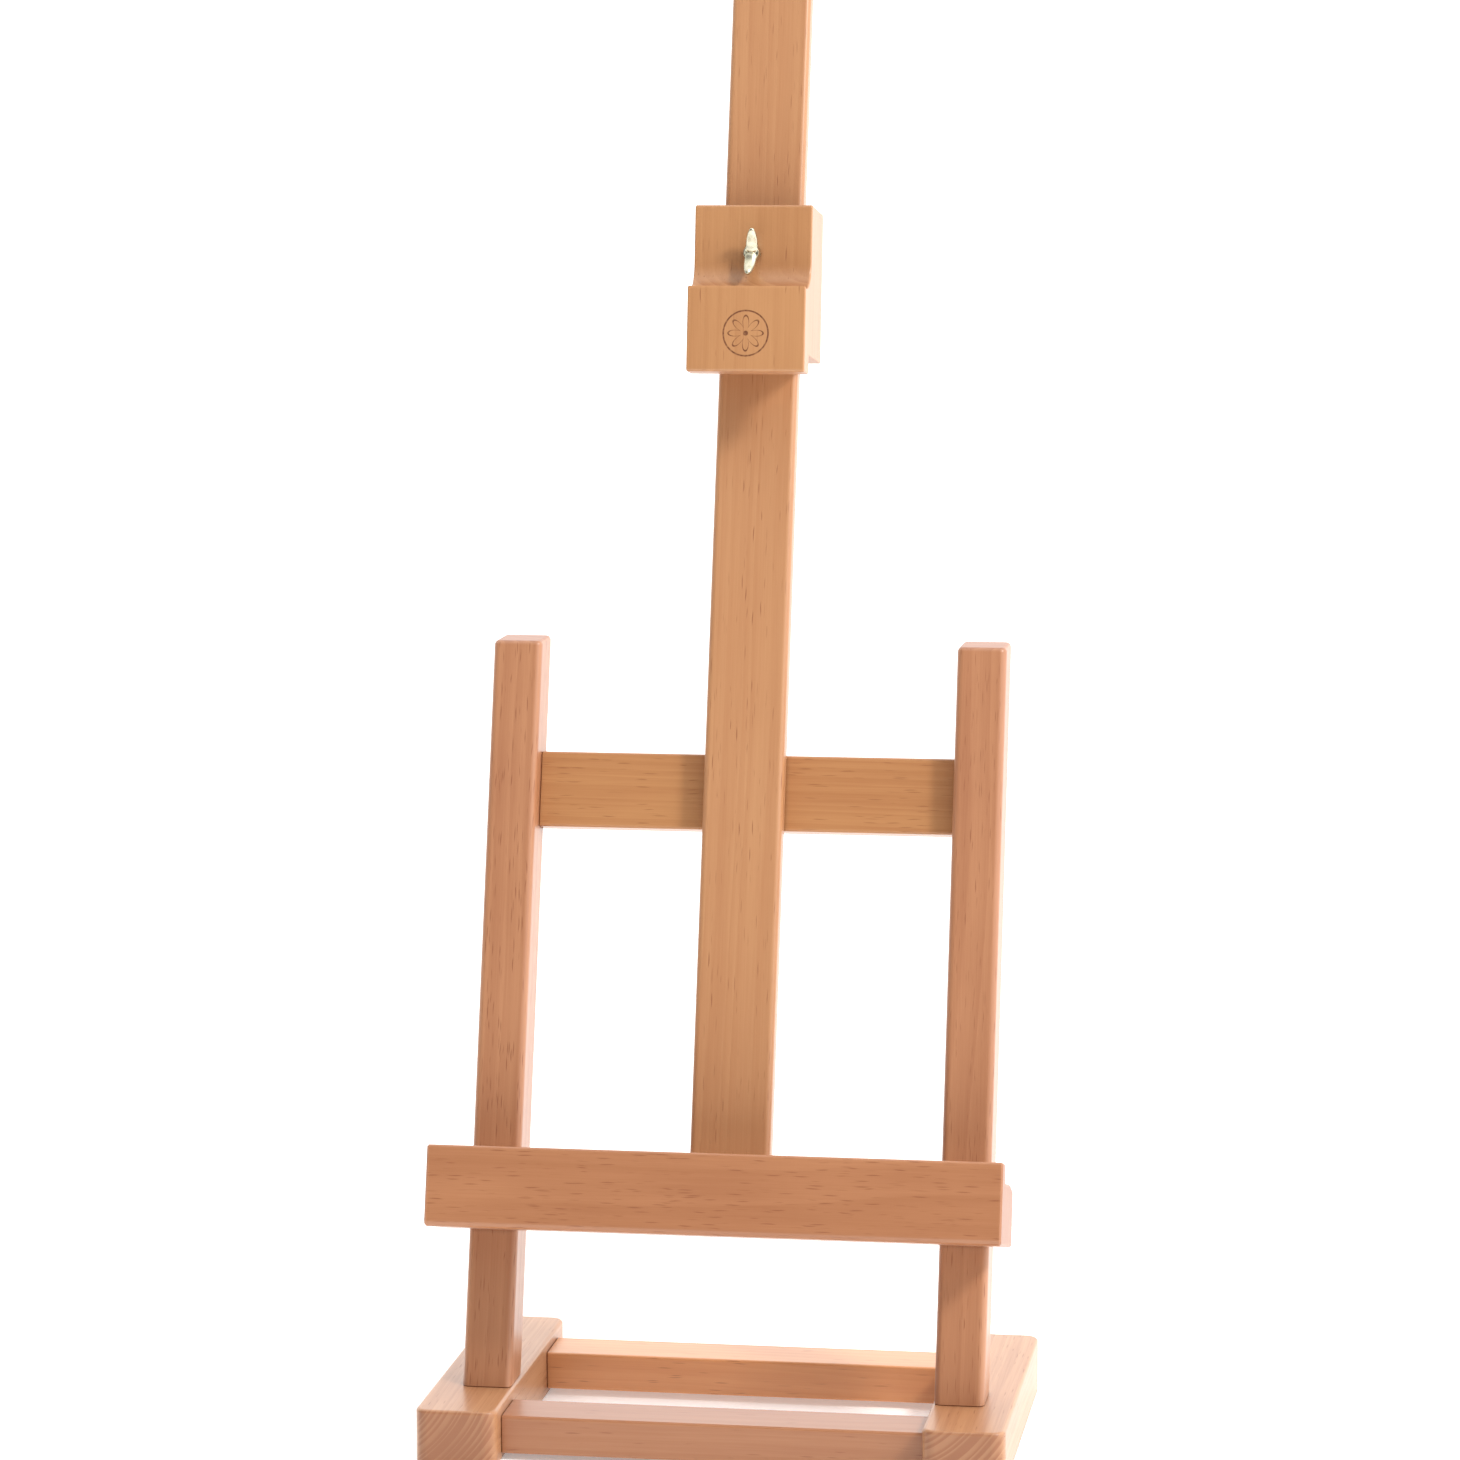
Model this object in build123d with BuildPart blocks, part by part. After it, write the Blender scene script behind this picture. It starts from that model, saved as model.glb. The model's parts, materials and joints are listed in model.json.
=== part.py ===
"""Wooden table easel: a fixed H-shaped frame that leans back on two runners.

Millimetres and degrees.  +X runs to the right, +Y to the back and +Z up.  The
origin is on the floor, under the middle of the easel's bounding box.
"""

import os
from math import cos, radians, sin, sqrt, tan

from build123d import *

os.makedirs("parts", exist_ok=True)

# ---------------------------------------------------------------- driving sizes
# Runners: the two feet, front to back
base_width = 258.0
runner_length = 160.0
runner_width = 36.0
runner_height = 25.0
runner_corner = 6.0
runner_arris = 1.6

# Base bars: let in between the runners
bar_depth = 27.0
bar_height = 17.0
bar_lift = 3.0
front_bar_setback = 13.0
rear_bar_setback = 17.0

# Leaning frame
lean_angle = 15.0
foot_setback = 39.0
upright_setback = 13.0
upright_width = 22.0
upright_depth = 24.0
upright_top_height = 347.2
upright_arris = 3.0
upright_end_round = 2.2
cross_bar_rise = 251.0
cross_bar_height = 34.0

# Mast: the flat centre slat that the top holder slides on
mast_width = 36.0
mast_thickness = 11.0
mast_foot_rise = 72.0
mast_top_rise = 660.0
mast_arris = 2.6
mast_end_round = 2.5

# Ledge: the canvas rest with its lip
ledge_length = 252.0
ledge_depth = 48.0
ledge_rise = 69.5
ledge_floor_height = 27.0
lip_thickness = 12.0
lip_height = 8.5
ledge_bevel_depth = 12.0
ledge_bevel_drop = 2.5
ledge_front_round = 2.6

# Top holder: a nosed block grooved for the mast, held on by a plate behind it
holder_rise = 454.0
holder_tilt = 6.0
holder_width = 53.0
holder_height = 76.0
nose_reach = 38.0
nose_height = 38.0
nose_lip = 13.5
notch_height = 8.5
shoulder_reach = 21.5
cove_radius = 12.5
plate_height = 17.0
plate_margin = 1.5
plate_thickness = 3.0
plate_edge = 1.0
plate_corner = 2.0

# Wing screw, its insert and its pad
screw_rise = 54.0
thread_radius = 2.0
hub_radius = 4.0
hub_top_radius = 3.5
hub_height = 4.6
hub_standoff = 1.5
wing_span = 20.0
wing_height = 10.5
wing_thickness = 4.6
wing_tip_radius = 2.6
wing_root_radius = 1.9
wing_turn = 8.0
insert_radius = 3.2
insert_length = 10.0
pad_radius = 4.5
pad_thickness = 3.0
pad_socket_depth = 1.5
pad_dome_radius = 15.0

# Joinery and fasteners
dowel_radius = 3.0
dowel_length = 30.0
bar_dowel_pitch = 13.0
cross_dowel_pitch = 18.0
cross_dowel_length = 26.0
foot_dowel_radius = 2.5
foot_dowel_pitch = 14.0
foot_screw_radius = 2.25
foot_screw_length = 45.0
foot_screw_cover = 6.0
ledge_screw_radius = 2.0
ledge_screw_length = 45.0
ledge_screw_pitch = 14.0
mast_screw_radius = 1.75
mast_screw_length = 20.0
mast_screw_pitch = 17.0
plate_screw_radius = 1.1
plate_screw_length = 12.0
plate_screw_pitch = 8.0

# Screw heads and tips, as multiples of the shank's radius
head_ratio = 2.0
rim_ratio = 0.3
tip_ratio = 2.0
recess_span_ratio = 2.4
recess_width_ratio = 0.5
recess_depth_ratio = 0.9

# Clearances
eased_edge = 1.2
end_chamfer = 0.8
shadow_gap = 0.4
slide_clearance = 0.4
face_clearance = 0.3
running_clearance = 0.05
shank_clearance = 0.3
cut_overrun = 1.0

# ------------------------------------------------------------ places worked out
runner_x = (base_width - runner_width) / 2
inner_width = base_width - 2 * runner_width
upright_x = base_width / 2 - upright_setback - upright_width / 2
frame_gap = 2 * upright_x - upright_width
lean_sin = sin(radians(lean_angle))
lean_cos = cos(radians(lean_angle))
mast_top_back = (
    foot_setback
    + (mast_top_rise - mast_arris) * lean_sin
    + (mast_thickness - mast_arris) * lean_cos
    + mast_arris
)
front_y = -max(runner_length, mast_top_back) / 2
runner_y = front_y + runner_length / 2
front_bar_y = front_y + front_bar_setback + bar_depth / 2
rear_bar_y = front_y + runner_length - rear_bar_setback - bar_depth / 2
bar_z = bar_lift + bar_height / 2
cross_bar_depth = upright_depth - mast_thickness

# The leaning frame's own plane: X to the right, Y through the frame from its
# front face to its back, Z up along the uprights
lean = Plane(
    origin=(0, front_y + foot_setback, runner_height),
    x_dir=(1, 0, 0),
    z_dir=(0, lean_sin, lean_cos),
)
# The same place seen from the right-hand side: X to the back, Y up the frame
lean_side = Plane(
    origin=lean.origin,
    x_dir=(0, lean_cos, -lean_sin),
    z_dir=(1, 0, 0),
)
# The top holder stands a little more upright than the mast it grips
holder_side = Plane(
    origin=lean_side.from_local_coords((0, holder_rise, 0)),
    x_dir=(0, cos(radians(lean_angle - holder_tilt)), -sin(radians(lean_angle - holder_tilt))),
    z_dir=(1, 0, 0),
)
groove_floor = -face_clearance
plate_top = notch_height + plate_edge + plate_height
groove_depth = (mast_thickness + face_clearance) / cos(radians(holder_tilt)) + plate_top * tan(
    radians(holder_tilt)
)
mast_face_at_screw = screw_rise * tan(radians(holder_tilt))
pad_dome_centre = mast_face_at_screw - (pad_dome_radius + face_clearance) / cos(radians(holder_tilt))
pad_face = pad_dome_centre + pad_dome_radius
hub_base = -shoulder_reach - hub_standoff
screw_tip = pad_face - pad_thickness + pad_socket_depth


def lean_axis_plane(x, depth, rise):
    """Plane on the leaning frame whose normal runs up the uprights."""
    return Plane(
        origin=lean.from_local_coords((x, depth, rise)),
        x_dir=(1, 0, 0),
        z_dir=(0, lean_sin, lean_cos),
    )


def through_plane(x, depth, rise):
    """Plane on the leaning frame whose normal runs from its back to its front."""
    return Plane(
        origin=lean.from_local_coords((x, depth, rise)),
        x_dir=(1, 0, 0),
        z_dir=(0, -lean_cos, lean_sin),
    )


def holder_plane(x, depth, rise, forwards=True):
    """Plane on the holder whose normal runs to its front, or else to its back."""
    sign = 1 if forwards else -1
    return Plane(
        origin=holder_side.from_local_coords((depth, rise, x)),
        x_dir=(1, 0, 0),
        z_dir=tuple(-sign * component for component in holder_side.x_dir),
    )


def dowel(plane, radius, length):
    """Plain dowel centred on the plane's origin and lying along its normal."""
    with BuildPart() as pin:
        with BuildSketch(plane.offset(-length / 2)):
            Circle(radius)
        extrude(amount=length)
        chamfer(pin.edges().filter_by(GeomType.CIRCLE), shadow_gap)
    return pin.part


def countersunk_blank(plane, length, shank_radius):
    """Countersunk screw without its recess, head flush in the plane, shank along the normal."""
    head_radius = head_ratio * shank_radius
    rim = rim_ratio * shank_radius
    profile_plane = Plane(origin=plane.origin, x_dir=plane.x_dir, z_dir=-plane.y_dir)
    with BuildPart() as screw:
        with BuildSketch(profile_plane) as section:
            with BuildLine():
                Polyline(
                    (0, 0),
                    (head_radius, 0),
                    (head_radius, rim),
                    (shank_radius, rim + head_radius - shank_radius),
                    (shank_radius, length - tip_ratio * shank_radius),
                    (0, length),
                    close=True,
                )
            make_face()
        revolve(section.sketch, axis=Axis(plane.origin, plane.z_dir))
    return screw.part


def recessed(blanks, seats, shank_radius):
    """The screws of one group, each with a cross recess sunk in its head."""
    span = recess_span_ratio * shank_radius
    slot = recess_width_ratio * shank_radius
    recess = recess_depth_ratio * shank_radius
    with BuildPart() as screws:
        add(blanks)
        for seat in seats:
            with BuildSketch(seat) as cross:
                Rectangle(span, slot)
                Rectangle(slot, span)
            extrude(cross.sketch, amount=recess, dir=seat.z_dir, mode=Mode.SUBTRACT)
    return screws.part


# ----------------------------------------------------------- dowels and screws
bar_dowel_seats = [
    Plane(origin=(side * inner_width / 2, bar_y + along, bar_z), z_dir=(1, 0, 0))
    for side in (-1, 1)
    for bar_y in (front_bar_y, rear_bar_y)
    for along in (-bar_dowel_pitch / 2, bar_dowel_pitch / 2)
]
cross_dowel_seats = [
    Plane(
        origin=lean.from_local_coords(
            (
                side * frame_gap / 2,
                mast_thickness + cross_bar_depth / 2,
                cross_bar_rise + cross_bar_height / 2 + along,
            )
        ),
        z_dir=(1, 0, 0),
    )
    for side in (-1, 1)
    for along in (-cross_dowel_pitch / 2, cross_dowel_pitch / 2)
]
foot_dowel_seats = [
    lean_axis_plane(side * upright_x, depth, depth * tan(radians(lean_angle)))
    for side in (-1, 1)
    for depth in (
        (upright_depth - foot_dowel_pitch) / 2,
        (upright_depth + foot_dowel_pitch) / 2,
    )
]
foot_screw_start = (upright_depth / 2 * lean_sin - runner_height) / lean_cos + foot_screw_cover
foot_screw_seats = [
    lean_axis_plane(side * upright_x, upright_depth / 2, foot_screw_start) for side in (-1, 1)
]
ledge_screw_rise = ledge_rise + ledge_floor_height / 2
ledge_screw_seats = [
    through_plane(side * upright_x, upright_depth, ledge_screw_rise + along)
    for side in (-1, 1)
    for along in (-ledge_screw_pitch / 2, ledge_screw_pitch / 2)
]
mast_screw_seats = [
    through_plane(side * mast_screw_pitch / 2, upright_depth, cross_bar_rise + cross_bar_height / 2)
    for side in (-1, 1)
]
mast_foot_seats = [
    through_plane(side * mast_screw_pitch / 2, mast_thickness, ledge_screw_rise)
    for side in (-1, 1)
]
plate_screw_x = (mast_width / 2 + slide_clearance + holder_width / 2 - plate_margin) / 2
plate_screw_seats = [
    holder_plane(
        side * plate_screw_x,
        groove_depth + plate_thickness,
        notch_height + plate_edge + plate_height / 2 + along,
    )
    for side in (-1, 1)
    for along in (-plate_screw_pitch / 2, plate_screw_pitch / 2)
]

bar_dowels = [dowel(seat, dowel_radius, dowel_length) for seat in bar_dowel_seats]
cross_dowels = [dowel(seat, dowel_radius, cross_dowel_length) for seat in cross_dowel_seats]
foot_dowels = [dowel(seat, foot_dowel_radius, dowel_length) for seat in foot_dowel_seats]
foot_blanks = [
    countersunk_blank(seat, foot_screw_length, foot_screw_radius) for seat in foot_screw_seats
]
ledge_blanks = [
    countersunk_blank(seat, ledge_screw_length, ledge_screw_radius) for seat in ledge_screw_seats
]
mast_blanks = [
    countersunk_blank(seat, mast_screw_length, mast_screw_radius)
    for seat in mast_screw_seats + mast_foot_seats
]
plate_blanks = [
    countersunk_blank(seat, plate_screw_length, plate_screw_radius) for seat in plate_screw_seats
]


def write_group(name, solids):
    """Write one node that holds a group of identical, separate pieces."""
    with BuildPart() as group:
        add(solids)
    group.part.label = name
    export_step(group.part, f"parts/{name}.step")


write_group("base_dowels", bar_dowels)
write_group("crossbar_dowels", cross_dowels)
write_group("foot_dowels", foot_dowels)
write_group("foot_screws", recessed(foot_blanks, foot_screw_seats, foot_screw_radius))
write_group("ledge_screws", recessed(ledge_blanks, ledge_screw_seats, ledge_screw_radius))
write_group(
    "mast_screws", recessed(mast_blanks, mast_screw_seats + mast_foot_seats, mast_screw_radius)
)
write_group("plate_screws", recessed(plate_blanks, plate_screw_seats, plate_screw_radius))

# --------------------------------------------------------------------- runners
well_depth = foot_screw_cover + runner_height
for side, name in ((-1, "left_runner"), (1, "right_runner")):
    with BuildPart() as runner:
        with BuildSketch(Plane.XY):
            with Locations((side * runner_x, runner_y)):
                RectangleRounded(runner_width, runner_length, runner_corner)
        extrude(amount=runner_height)
        fillet(runner.faces().sort_by(Axis.Z)[-1].edges(), runner_arris)
        fillet(runner.faces().sort_by(Axis.Z)[0].edges(), eased_edge)
        with BuildSketch(foot_screw_seats[0 if side < 0 else 1]) as well:
            Circle(head_ratio * foot_screw_radius + shank_clearance)
        extrude(well.sketch, amount=-well_depth, dir=lean.z_dir, mode=Mode.SUBTRACT)
        add(bar_dowels, mode=Mode.SUBTRACT)
        add(foot_dowels, mode=Mode.SUBTRACT)
        add(foot_blanks, mode=Mode.SUBTRACT)
    runner.part.label = name
    export_step(runner.part, f"parts/{name}.step")

# ------------------------------------------------------------------- base bars
for bar_y, name in ((front_bar_y, "front_base_bar"), (rear_bar_y, "rear_base_bar")):
    with BuildPart() as base_bar:
        with BuildSketch(Plane.YZ.offset(-inner_width / 2)):
            with Locations((bar_y, bar_z)):
                RectangleRounded(bar_depth, bar_height, eased_edge)
        extrude(amount=inner_width)
        chamfer(base_bar.faces().sort_by(Axis.X)[0].edges(), shadow_gap)
        chamfer(base_bar.faces().sort_by(Axis.X)[-1].edges(), shadow_gap)
        add(bar_dowels, mode=Mode.SUBTRACT)
    base_bar.part.label = name
    export_step(base_bar.part, f"parts/{name}.step")

# -------------------------------------------------------------------- uprights
foot_allowance = upright_depth * tan(radians(lean_angle))
upright_reach = (upright_top_height - runner_height) / lean_cos + foot_allowance + cut_overrun
for side, name in ((-1, "left_upright"), (1, "right_upright")):
    with BuildPart() as upright:
        with BuildSketch(lean.offset(-foot_allowance)):
            with Locations((side * upright_x, upright_depth / 2)):
                RectangleRounded(upright_width, upright_depth, upright_arris)
        extrude(amount=upright_reach + foot_allowance)
        split(bisect_by=Plane.XY.offset(runner_height), keep=Keep.TOP)
        split(bisect_by=Plane.XY.offset(upright_top_height), keep=Keep.BOTTOM)
        fillet(upright.faces().sort_by(Axis.Z)[-1].edges(), upright_end_round)
        chamfer(upright.faces().sort_by(Axis.Z)[0].edges(), shadow_gap)
        add(cross_dowels, mode=Mode.SUBTRACT)
        add(foot_dowels, mode=Mode.SUBTRACT)
        add(foot_blanks, mode=Mode.SUBTRACT)
        add(ledge_blanks, mode=Mode.SUBTRACT)
    upright.part.label = name
    export_step(upright.part, f"parts/{name}.step")

# ------------------------------------------------------------------- cross bar
with BuildPart() as upper_crossbar:
    with BuildSketch(lean_side.offset(-frame_gap / 2)):
        with Locations(
            (mast_thickness + cross_bar_depth / 2, cross_bar_rise + cross_bar_height / 2)
        ):
            RectangleRounded(cross_bar_depth, cross_bar_height, eased_edge)
    extrude(amount=frame_gap)
    chamfer(upper_crossbar.faces().sort_by(Axis.X)[0].edges(), shadow_gap)
    chamfer(upper_crossbar.faces().sort_by(Axis.X)[-1].edges(), shadow_gap)
    add(cross_dowels, mode=Mode.SUBTRACT)
    add(mast_blanks, mode=Mode.SUBTRACT)
upper_crossbar.part.label = "upper_crossbar"
export_step(upper_crossbar.part, "parts/upper_crossbar.step")

# ------------------------------------------------------------------------ mast
with BuildPart() as mast:
    with BuildSketch(lean.offset(mast_foot_rise)):
        with Locations((0, mast_thickness / 2)):
            RectangleRounded(mast_width, mast_thickness, mast_arris)
    extrude(amount=mast_top_rise - mast_foot_rise)
    fillet(mast.faces().sort_by(Axis.Z)[-1].edges(), mast_end_round)
    chamfer(mast.faces().sort_by(Axis.Z)[0].edges(), shadow_gap)
    add(mast_blanks, mode=Mode.SUBTRACT)
mast.part.label = "mast"
export_step(mast.part, "parts/mast.step")

# ----------------------------------------------------------------------- ledge
ledge_floor_rise = ledge_rise + ledge_floor_height
with BuildPart() as ledge:
    with BuildSketch(lean_side.offset(-ledge_length / 2)) as ledge_section:
        with BuildLine():
            Polyline(
                (0, ledge_rise),
                (-ledge_depth, ledge_rise),
                (-ledge_depth, ledge_floor_rise + lip_height),
                (lip_thickness - ledge_depth, ledge_floor_rise + lip_height),
                (lip_thickness - ledge_depth, ledge_floor_rise),
                (-ledge_bevel_depth, ledge_floor_rise),
                (0, ledge_floor_rise - ledge_bevel_drop),
                close=True,
            )
        make_face()
        fillet(ledge_section.vertices().sort_by(Axis.Y)[-2:], eased_edge)
        fillet(ledge_section.vertices().group_by(Axis.Y)[0].sort_by(Axis.X)[0], ledge_front_round)
    extrude(amount=ledge_length)
    for end in (ledge.faces().sort_by(Axis.X)[0], ledge.faces().sort_by(Axis.X)[-1]):
        chamfer(end.edges(), end_chamfer)
    add(ledge_blanks, mode=Mode.SUBTRACT)
    add(mast_blanks, mode=Mode.SUBTRACT)
ledge.part.label = "ledge"
export_step(ledge.part, "parts/ledge.step")

# ---------------------------------------------------------------- holder block
cove_inset = nose_reach - shoulder_reach - cove_radius
cove_rise = nose_height + sqrt(cove_radius**2 - cove_inset**2)
with BuildPart() as holder_block:
    with BuildSketch(holder_side.offset(-holder_width / 2)) as nose_section:
        with BuildLine():
            cove = RadiusArc((-nose_reach, nose_height), (-shoulder_reach, cove_rise), -cove_radius)
            Polyline(
                cove @ 1,
                (-shoulder_reach, holder_height),
                (groove_depth, holder_height),
                (groove_depth, notch_height),
                (nose_lip - nose_reach, notch_height),
                (nose_lip - nose_reach, 0),
                (-nose_reach, 0),
                cove @ 0,
            )
        make_face()
        fillet(nose_section.vertices().group_by(Axis.Y)[0], eased_edge)
        fillet(nose_section.vertices().group_by(Axis.Y)[-1], eased_edge)
    extrude(amount=holder_width)
    for cheek in (holder_block.faces().sort_by(Axis.X)[0], holder_block.faces().sort_by(Axis.X)[-1]):
        fillet(cheek.edges(), end_chamfer)
    with BuildSketch(holder_plane(0, groove_floor, holder_height / 2, forwards=False)) as groove:
        Rectangle(mast_width + 2 * slide_clearance, holder_height + 2 * cut_overrun)
    extrude(groove.sketch, amount=groove_depth + cut_overrun, mode=Mode.SUBTRACT)
    with BuildSketch(holder_plane(0, groove_floor, screw_rise)) as screw_hole:
        Circle(thread_radius + shank_clearance)
    extrude(screw_hole.sketch, amount=nose_reach, mode=Mode.SUBTRACT)
    with BuildSketch(holder_plane(0, groove_floor, screw_rise)) as insert_hole:
        Circle(insert_radius)
    extrude(insert_hole.sketch, amount=insert_length, mode=Mode.SUBTRACT)
    add(plate_blanks, mode=Mode.SUBTRACT)
holder_block.part.label = "holder_block"
export_step(holder_block.part, "parts/holder_block.step")

# ---------------------------------------------------------------- holder plate
plate_rise = notch_height + plate_edge + plate_height / 2
with BuildPart() as holder_plate:
    with BuildSketch(holder_plane(0, groove_depth, plate_rise, forwards=False)):
        RectangleRounded(holder_width - 2 * plate_margin, plate_height, plate_corner)
    extrude(amount=plate_thickness)
    outer_face = holder_plate.faces().sort_by(Axis(holder_side.origin, holder_side.x_dir))[-1]
    chamfer(outer_face.edges(), end_chamfer)
    add(plate_blanks, mode=Mode.SUBTRACT)
holder_plate.part.label = "holder_plate"
export_step(holder_plate.part, "parts/holder_plate.step")

# ------------------------------------------------- insert, pad and wing screw
with BuildPart() as threaded_insert:
    with BuildSketch(holder_plane(0, groove_floor, screw_rise)):
        Circle(insert_radius)
        Circle(thread_radius + running_clearance, mode=Mode.SUBTRACT)
    extrude(amount=insert_length)
threaded_insert.part.label = "threaded_insert"
export_step(threaded_insert.part, "parts/threaded_insert.step")

with BuildPart() as pressure_pad:
    with BuildSketch(holder_plane(0, pad_face, screw_rise)):
        Circle(pad_radius)
    extrude(amount=pad_thickness)
    with Locations(holder_plane(0, pad_dome_centre, screw_rise)):
        Sphere(pad_dome_radius, mode=Mode.INTERSECT)
    with BuildSketch(holder_plane(0, screw_tip, screw_rise)) as socket:
        Circle(thread_radius + running_clearance)
    extrude(socket.sketch, amount=pad_thickness, mode=Mode.SUBTRACT)
pressure_pad.part.label = "pressure_pad"
export_step(pressure_pad.part, "parts/pressure_pad.step")

wing_seat = holder_plane(0, hub_base, screw_rise)
wing_plane = Plane(
    origin=wing_seat.origin,
    x_dir=wing_seat.y_dir.rotate(Axis((0, 0, 0), wing_seat.z_dir), wing_turn),
    z_dir=wing_seat.x_dir.rotate(Axis((0, 0, 0), wing_seat.z_dir), wing_turn),
)
with BuildPart() as wing_screw:
    with BuildSketch(holder_plane(0, screw_tip - running_clearance, screw_rise)) as shank:
        Circle(thread_radius)
    extrude(shank.sketch, amount=screw_tip - running_clearance - hub_base)
    with BuildSketch(wing_seat) as hub_foot:
        Circle(hub_radius)
    with BuildSketch(wing_seat.offset(hub_height)) as hub_top:
        Circle(hub_top_radius)
    loft([hub_foot.sketch, hub_top.sketch])
    for side in (-1, 1):
        with BuildSketch(wing_plane) as ear:
            with Locations((side * (wing_span / 2 - wing_tip_radius), wing_height - wing_tip_radius)):
                Circle(wing_tip_radius)
            with Locations((side * hub_top_radius / 2, hub_height / 2)):
                Circle(wing_root_radius)
            make_hull()
        extrude(ear.sketch, amount=wing_thickness / 2, both=True)
wing_screw.part.label = "wing_screw"
export_step(wing_screw.part, "parts/wing_screw.step")
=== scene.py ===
"""Looks of the wooden table easel: oiled beech, joint lines, cast wing screw, wood screws, studio.

Everything is in metres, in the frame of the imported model: +X right, +Y back, +Z up, floor at 0.
"""

import json
import logging
from dataclasses import dataclass, field
from enum import Enum
from math import cos, pi, radians, sin
from typing import Callable, Union

import bpy
from mathutils import Euler, Matrix, Vector


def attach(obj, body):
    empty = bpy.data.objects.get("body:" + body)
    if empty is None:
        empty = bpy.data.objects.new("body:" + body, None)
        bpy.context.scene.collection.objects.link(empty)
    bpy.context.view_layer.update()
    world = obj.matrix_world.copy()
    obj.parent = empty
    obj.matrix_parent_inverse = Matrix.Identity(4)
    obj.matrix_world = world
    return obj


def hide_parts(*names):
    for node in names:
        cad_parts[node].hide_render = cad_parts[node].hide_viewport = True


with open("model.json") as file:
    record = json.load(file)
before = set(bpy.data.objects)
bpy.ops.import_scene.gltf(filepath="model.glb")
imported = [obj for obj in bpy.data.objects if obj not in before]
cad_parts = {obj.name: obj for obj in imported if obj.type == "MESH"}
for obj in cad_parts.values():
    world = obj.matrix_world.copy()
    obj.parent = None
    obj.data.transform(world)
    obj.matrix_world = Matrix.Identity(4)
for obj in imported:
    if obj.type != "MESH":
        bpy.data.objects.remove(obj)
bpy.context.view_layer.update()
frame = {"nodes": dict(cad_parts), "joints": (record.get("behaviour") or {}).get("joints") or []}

MM = 0.001
# Degrees from upright: the frame's slope, and the top holder's
LEAN = 15.0
HOLDER_LEAN = 9.0
LOG = logging.getLogger("easel")

Colour = tuple[float, float, float]
Socket = bpy.types.NodeSocket
Feed = Union[Socket, float, tuple[float, ...]]


# ------------------------------------------------------------------ named choices
class Grain(Enum):
    """Turn, in degrees about X then Y, that lays a piece's grain along its own Z axis."""

    RUNNER = (90.0, 0.0)
    BASE_BAR = (0.0, -90.0)
    LEANING = (LEAN, 0.0)
    LEANING_ACROSS = (LEAN, -90.0)
    HOLDER = (HOLDER_LEAN, 0.0)
    HOLDER_ACROSS = (HOLDER_LEAN, -90.0)

    def euler(self) -> Euler:
        """Return the turn as Euler angles in radians."""
        about_x, about_y = self.value
        return Euler((radians(about_x), radians(about_y), 0.0))


class Slot(Enum):
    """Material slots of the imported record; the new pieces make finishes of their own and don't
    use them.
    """

    NICKEL = "nickelled_steel"
    ZINC = "zinc_steel"
    BRASS = "brass"


def srgb(red: float, green: float, blue: float) -> Colour:
    """Turn an 8-bit display colour into linear light.

    Args:
        red, green, blue: the channels, 0 to 255.

    Returns:
        The same colour as linear values, 0 to 1.
    """
    linear = []
    for channel in (red, green, blue):
        share = channel / 255.0
        linear.append(share / 12.92 if share <= 0.04045 else ((share + 0.055) / 1.055) ** 2.4)
    return tuple(linear)


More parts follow.
